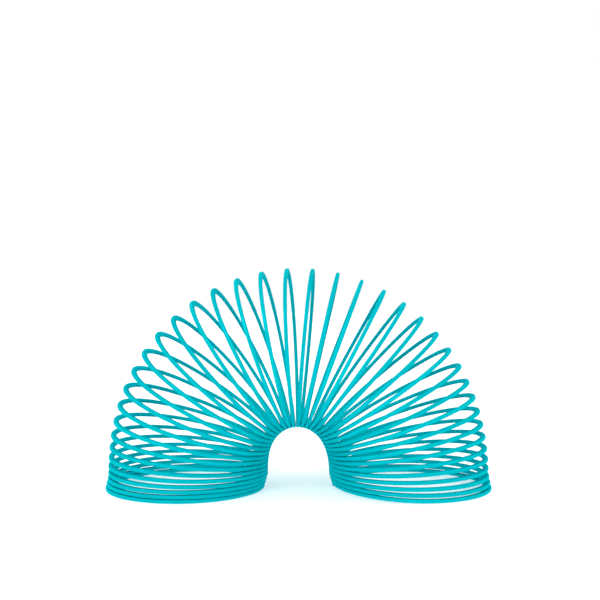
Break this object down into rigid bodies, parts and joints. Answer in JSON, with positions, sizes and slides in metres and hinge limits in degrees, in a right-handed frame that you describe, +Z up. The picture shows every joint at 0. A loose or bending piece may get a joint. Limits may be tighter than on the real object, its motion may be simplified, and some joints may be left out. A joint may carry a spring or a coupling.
{
  "type": "spring coil toy",
  "caption": "One-piece plastic spring coil that stands as an arch on its two ends and closes into a short round stack.",
  "frame": {"origin": "on the table, midway between the two feet", "axes": "+X from the first foot to the last foot, +Y towards the back, +Z up"},
  "size_m": [0.1814, 0.075, 0.1032],
  "materials": {
    "coil": "turquoise moulded plastic, semi-gloss"
  },
  "bodies": {
    "turn_01": {"turn_01": "coil"},
    "turn_02": {"turn_02": "coil"},
    "turn_03": {"turn_03": "coil"},
    "turn_04": {"turn_04": "coil"},
    "turn_05": {"turn_05": "coil"},
    "turn_06": {"turn_06": "coil"},
    "turn_07": {"turn_07": "coil"},
    "turn_08": {"turn_08": "coil"},
    "turn_09": {"turn_09": "coil"},
    "turn_10": {"turn_10": "coil"},
    "turn_11": {"turn_11": "coil"},
    "turn_12": {"turn_12": "coil"},
    "turn_13": {"turn_13": "coil"},
    "turn_14": {"turn_14": "coil"},
    "turn_15": {"turn_15": "coil"},
    "turn_16": {"turn_16": "coil"},
    "turn_17": {"turn_17": "coil"},
    "turn_18": {"turn_18": "coil"},
    "turn_19": {"turn_19": "coil"},
    "turn_20": {"turn_20": "coil"},
    "turn_21": {"turn_21": "coil"},
    "turn_22": {"turn_22": "coil"},
    "turn_23": {"turn_23": "coil"},
    "turn_24": {"turn_24": "coil"},
    "turn_25": {"turn_25": "coil"},
    "turn_26": {"turn_26": "coil"},
    "turn_27": {"turn_27": "coil"},
    "turn_28": {"turn_28": "coil"},
    "turn_29": {"turn_29": "coil"},
    "turn_30": {"turn_30": "coil"},
    "turn_31": {"turn_31": "coil"},
    "turn_32": {"turn_32": "coil"},
    "turn_33": {"turn_33": "coil"},
    "turn_34": {"turn_34": "coil"},
    "turn_35": {"turn_35": "coil"},
    "turn_36": {"turn_36": "coil"},
    "turn_37": {"turn_37": "coil"},
    "turn_38": {"turn_38": "coil"},
    "turn_39": {"turn_39": "coil"},
    "turn_40": {"turn_40": "coil"}
  },
  "joints": [
    {"name": "hinge_01", "type": "hinge", "parent": "turn_01", "child": "turn_02", "pos_m": [-0.0168, 0, 0.00272], "axis": [0, -1, 0], "range_deg": [-0.004213, 0.084257], "stiffness_Nm_per_rad": 0.3},
    {"name": "hinge_02", "type": "hinge", "parent": "turn_02", "child": "turn_03", "pos_m": [-0.0163, 0, 0.00457], "axis": [0, -1, 0], "range_deg": [-0.012296, 0.24593], "stiffness_Nm_per_rad": 0.3},
    {"name": "hinge_03", "type": "hinge", "parent": "turn_03", "child": "turn_04", "pos_m": [-0.01579, 0, 0.00642], "axis": [0, -1, 0], "range_deg": [-0.028465, 0.56929], "stiffness_Nm_per_rad": 0.3},
    {"name": "hinge_04", "type": "hinge", "parent": "turn_04", "child": "turn_05", "pos_m": [-0.01576, 0, 0.00827], "axis": [0, -1, 0], "range_deg": [-0.05, 1.03], "stiffness_Nm_per_rad": 0.3},
    {"name": "hinge_05", "type": "hinge", "parent": "turn_05", "child": "turn_06", "pos_m": [-0.01569, 0, 0.01012], "axis": [0, -1, 0], "range_deg": [-0.08, 1.6], "stiffness_Nm_per_rad": 0.3},
    {"name": "hinge_06", "type": "hinge", "parent": "turn_06", "child": "turn_07", "pos_m": [-0.01558, 0, 0.01197], "axis": [0, -1, 0], "range_deg": [-0.11, 2.27], "stiffness_Nm_per_rad": 0.3},
    {"name": "hinge_07", "type": "hinge", "parent": "turn_07", "child": "turn_08", "pos_m": [-0.01539, 0, 0.01381], "axis": [0, -1, 0], "range_deg": [-0.15, 3.02], "stiffness_Nm_per_rad": 0.3},
    {"name": "hinge_08", "type": "hinge", "parent": "turn_08", "child": "turn_09", "pos_m": [-0.01511, 0, 0.01564], "axis": [0, -1, 0], "range_deg": [-0.19, 3.84], "stiffness_Nm_per_rad": 0.3},
    {"name": "hinge_09", "type": "hinge", "parent": "turn_09", "child": "turn_10", "pos_m": [-0.01471, 0, 0.01744], "axis": [0, -1, 0], "range_deg": [-0.23, 4.57], "stiffness_Nm_per_rad": 0.3},
    {"name": "hinge_10", "type": "hinge", "parent": "turn_10", "child": "turn_11", "pos_m": [-0.01416, 0, 0.01921], "axis": [0, -1, 0], "range_deg": [-0.26, 5.14], "stiffness_Nm_per_rad": 0.3},
    {"name": "hinge_11", "type": "hinge", "parent": "turn_11", "child": "turn_12", "pos_m": [-0.01346, 0, 0.02092], "axis": [0, -1, 0], "range_deg": [-0.28, 5.69], "stiffness_Nm_per_rad": 0.3},
    {"name": "hinge_12", "type": "hinge", "parent": "turn_12", "child": "turn_13", "pos_m": [-0.01259, 0, 0.02255], "axis": [0, -1, 0], "range_deg": [-0.31, 6.2], "stiffness_Nm_per_rad": 0.3},
    {"name": "hinge_13", "type": "hinge", "parent": "turn_13", "child": "turn_14", "pos_m": [-0.01155, 0, 0.02408], "axis": [0, -1, 0], "range_deg": [-0.33, 6.65], "stiffness_Nm_per_rad": 0.3},
    {"name": "hinge_14", "type": "hinge", "parent": "turn_14", "child": "turn_15", "pos_m": [-0.01034, 0, 0.02548], "axis": [0, -1, 0], "range_deg": [-0.35, 7.05], "stiffness_Nm_per_rad": 0.3},
    {"name": "hinge_15", "type": "hinge", "parent": "turn_15", "child": "turn_16", "pos_m": [-0.00896, 0, 0.02672], "axis": [0, -1, 0], "range_deg": [-0.37, 7.39], "stiffness_Nm_per_rad": 0.3},
    {"name": "hinge_16", "type": "hinge", "parent": "turn_16", "child": "turn_17", "pos_m": [-0.00744, 0, 0.02777], "axis": [0, -1, 0], "range_deg": [-0.38, 7.66], "stiffness_Nm_per_rad": 0.3},
    {"name": "hinge_17", "type": "hinge", "parent": "turn_17", "child": "turn_18", "pos_m": [-0.00579, 0, 0.02862], "axis": [0, -1, 0], "range_deg": [-0.39, 7.86], "stiffness_Nm_per_rad": 0.3},
    {"name": "hinge_18", "type": "hinge", "parent": "turn_18", "child": "turn_19", "pos_m": [-0.00405, 0, 0.02922], "axis": [0, -1, 0], "range_deg": [-0.4, 7.99], "stiffness_Nm_per_rad": 0.3},
    {"name": "hinge_19", "type": "hinge", "parent": "turn_19", "child": "turn_20", "pos_m": [-0.00223, 0, 0.02958], "axis": [0, -1, 0], "range_deg": [-0.4, 8.04], "stiffness_Nm_per_rad": 0.3},
    {"name": "hinge_20", "type": "hinge", "parent": "turn_20", "child": "turn_21", "pos_m": [-0.00039, 0, 0.02969], "axis": [0, -1, 0], "range_deg": [-0.4, 8.03], "stiffness_Nm_per_rad": 0.3},
    {"name": "hinge_21", "type": "hinge", "parent": "turn_21", "child": "turn_22", "pos_m": [0.00146, 0, 0.02953], "axis": [0, -1, 0], "range_deg": [-0.4, 7.93], "stiffness_Nm_per_rad": 0.3},
    {"name": "hinge_22", "type": "hinge", "parent": "turn_22", "child": "turn_23", "pos_m": [0.00326, 0, 0.02912], "axis": [0, -1, 0], "range_deg": [-0.39, 7.77], "stiffness_Nm_per_rad": 0.3},
    {"name": "hinge_23", "type": "hinge", "parent": "turn_23", "child": "turn_24", "pos_m": [0.00499, 0, 0.02847], "axis": [0, -1, 0], "range_deg": [-0.38, 7.55], "stiffness_Nm_per_rad": 0.3},
    {"name": "hinge_24", "type": "hinge", "parent": "turn_24", "child": "turn_25", "pos_m": [0.00663, 0, 0.0276], "axis": [0, -1, 0], "range_deg": [-0.36, 7.26], "stiffness_Nm_per_rad": 0.3},
    {"name": "hinge_25", "type": "hinge", "parent": "turn_25", "child": "turn_26", "pos_m": [0.00814, 0, 0.02653], "axis": [0, -1, 0], "range_deg": [-0.35, 6.91], "stiffness_Nm_per_rad": 0.3},
    {"name": "hinge_26", "type": "hinge", "parent": "turn_26", "child": "turn_27", "pos_m": [0.0095, 0, 0.02528], "axis": [0, -1, 0], "range_deg": [-0.33, 6.51], "stiffness_Nm_per_rad": 0.3},
    {"name": "hinge_27", "type": "hinge", "parent": "turn_27", "child": "turn_28", "pos_m": [0.01072, 0, 0.02389], "axis": [0, -1, 0], "range_deg": [-0.3, 6.06], "stiffness_Nm_per_rad": 0.3},
    {"name": "hinge_28", "type": "hinge", "parent": "turn_28", "child": "turn_29", "pos_m": [0.01179, 0, 0.02238], "axis": [0, -1, 0], "range_deg": [-0.28, 5.57], "stiffness_Nm_per_rad": 0.3},
    {"name": "hinge_29", "type": "hinge", "parent": "turn_29", "child": "turn_30", "pos_m": [0.0127, 0, 0.02077], "axis": [0, -1, 0], "range_deg": [-0.25, 5.06], "stiffness_Nm_per_rad": 0.3},
    {"name": "hinge_30", "type": "hinge", "parent": "turn_30", "child": "turn_31", "pos_m": [0.01347, 0, 0.01909], "axis": [0, -1, 0], "range_deg": [-0.23, 4.52], "stiffness_Nm_per_rad": 0.3},
    {"name": "hinge_31", "type": "hinge", "parent": "turn_31", "child": "turn_32", "pos_m": [0.01411, 0, 0.01735], "axis": [0, -1, 0], "range_deg": [-0.2, 3.96], "stiffness_Nm_per_rad": 0.3},
    {"name": "hinge_32", "type": "hinge", "parent": "turn_32", "child": "turn_33", "pos_m": [0.01462, 0, 0.01557], "axis": [0, -1, 0], "range_deg": [-0.18, 3.53], "stiffness_Nm_per_rad": 0.3},
    {"name": "hinge_33", "type": "hinge", "parent": "turn_33", "child": "turn_34", "pos_m": [0.01502, 0, 0.01377], "axis": [0, -1, 0], "range_deg": [-0.16, 3.18], "stiffness_Nm_per_rad": 0.3},
    {"name": "hinge_34", "type": "hinge", "parent": "turn_34", "child": "turn_35", "pos_m": [0.01532, 0, 0.01194], "axis": [0, -1, 0], "range_deg": [-0.14, 2.78], "stiffness_Nm_per_rad": 0.3},
    {"name": "hinge_35", "type": "hinge", "parent": "turn_35", "child": "turn_36", "pos_m": [0.01554, 0, 0.01011], "axis": [0, -1, 0], "range_deg": [-0.12, 2.33], "stiffness_Nm_per_rad": 0.3},
    {"name": "hinge_36", "type": "hinge", "parent": "turn_36", "child": "turn_37", "pos_m": [0.01567, 0, 0.00826], "axis": [0, -1, 0], "range_deg": [-0.09, 1.84], "stiffness_Nm_per_rad": 0.3},
    {"name": "hinge_37", "type": "hinge", "parent": "turn_37", "child": "turn_38", "pos_m": [0.01575, 0, 0.00641], "axis": [0, -1, 0], "range_deg": [-0.07, 1.33], "stiffness_Nm_per_rad": 0.3},
    {"name": "hinge_38", "type": "hinge", "parent": "turn_38", "child": "turn_39", "pos_m": [0.01629, 0, 0.00457], "axis": [0, -1, 0], "range_deg": [-0.040422, 0.80845], "stiffness_Nm_per_rad": 0.3},
    {"name": "hinge_39", "type": "hinge", "parent": "turn_39", "child": "turn_40", "pos_m": [0.0168, 0, 0.00272], "axis": [0, -1, 0], "range_deg": [-0.014908, 0.29815], "stiffness_Nm_per_rad": 0.3}
  ],
  "couplings": [
    {"joint": "hinge_01", "follows": "hinge_10", "ratio": 0.016379},
    {"joint": "hinge_02", "follows": "hinge_10", "ratio": 0.047806},
    {"joint": "hinge_03", "follows": "hinge_10", "ratio": 0.11067},
    {"joint": "hinge_04", "follows": "hinge_10", "ratio": 0.19949},
    {"joint": "hinge_05", "follows": "hinge_10", "ratio": 0.31043},
    {"joint": "hinge_06", "follows": "hinge_10", "ratio": 0.4403},
    {"joint": "hinge_07", "follows": "hinge_10", "ratio": 0.5863},
    {"joint": "hinge_08", "follows": "hinge_10", "ratio": 0.74591},
    {"joint": "hinge_09", "follows": "hinge_10", "ratio": 0.88752},
    {"joint": "hinge_11", "follows": "hinge_19", "ratio": 0.70744},
    {"joint": "hinge_12", "follows": "hinge_19", "ratio": 0.77021},
    {"joint": "hinge_13", "follows": "hinge_19", "ratio": 0.82684},
    {"joint": "hinge_14", "follows": "hinge_19", "ratio": 0.8765},
    {"joint": "hinge_15", "follows": "hinge_19", "ratio": 0.91846},
    {"joint": "hinge_16", "follows": "hinge_19", "ratio": 0.95214},
    {"joint": "hinge_17", "follows": "hinge_19", "ratio": 0.97713},
    {"joint": "hinge_18", "follows": "hinge_19", "ratio": 0.99313},
    {"joint": "hinge_20", "follows": "hinge_19", "ratio": 0.99774},
    {"joint": "hinge_22", "follows": "hinge_21", "ratio": 0.97974},
    {"joint": "hinge_23", "follows": "hinge_21", "ratio": 0.95103},
    {"joint": "hinge_24", "follows": "hinge_21", "ratio": 0.91438},
    {"joint": "hinge_25", "follows": "hinge_21", "ratio": 0.87042},
    {"joint": "hinge_26", "follows": "hinge_21", "ratio": 0.81987},
    {"joint": "hinge_27", "follows": "hinge_21", "ratio": 0.76356},
    {"joint": "hinge_28", "follows": "hinge_21", "ratio": 0.70236},
    {"joint": "hinge_29", "follows": "hinge_21", "ratio": 0.63725},
    {"joint": "hinge_30", "follows": "hinge_21", "ratio": 0.56923},
    {"joint": "hinge_32", "follows": "hinge_31", "ratio": 0.89088},
    {"joint": "hinge_33", "follows": "hinge_31", "ratio": 0.80311},
    {"joint": "hinge_34", "follows": "hinge_31", "ratio": 0.70108},
    {"joint": "hinge_35", "follows": "hinge_31", "ratio": 0.5873},
    {"joint": "hinge_36", "follows": "hinge_31", "ratio": 0.46445},
    {"joint": "hinge_37", "follows": "hinge_31", "ratio": 0.33548},
    {"joint": "hinge_38", "follows": "hinge_31", "ratio": 0.20401},
    {"joint": "hinge_39", "follows": "hinge_31", "ratio": 0.075239}
  ]
}
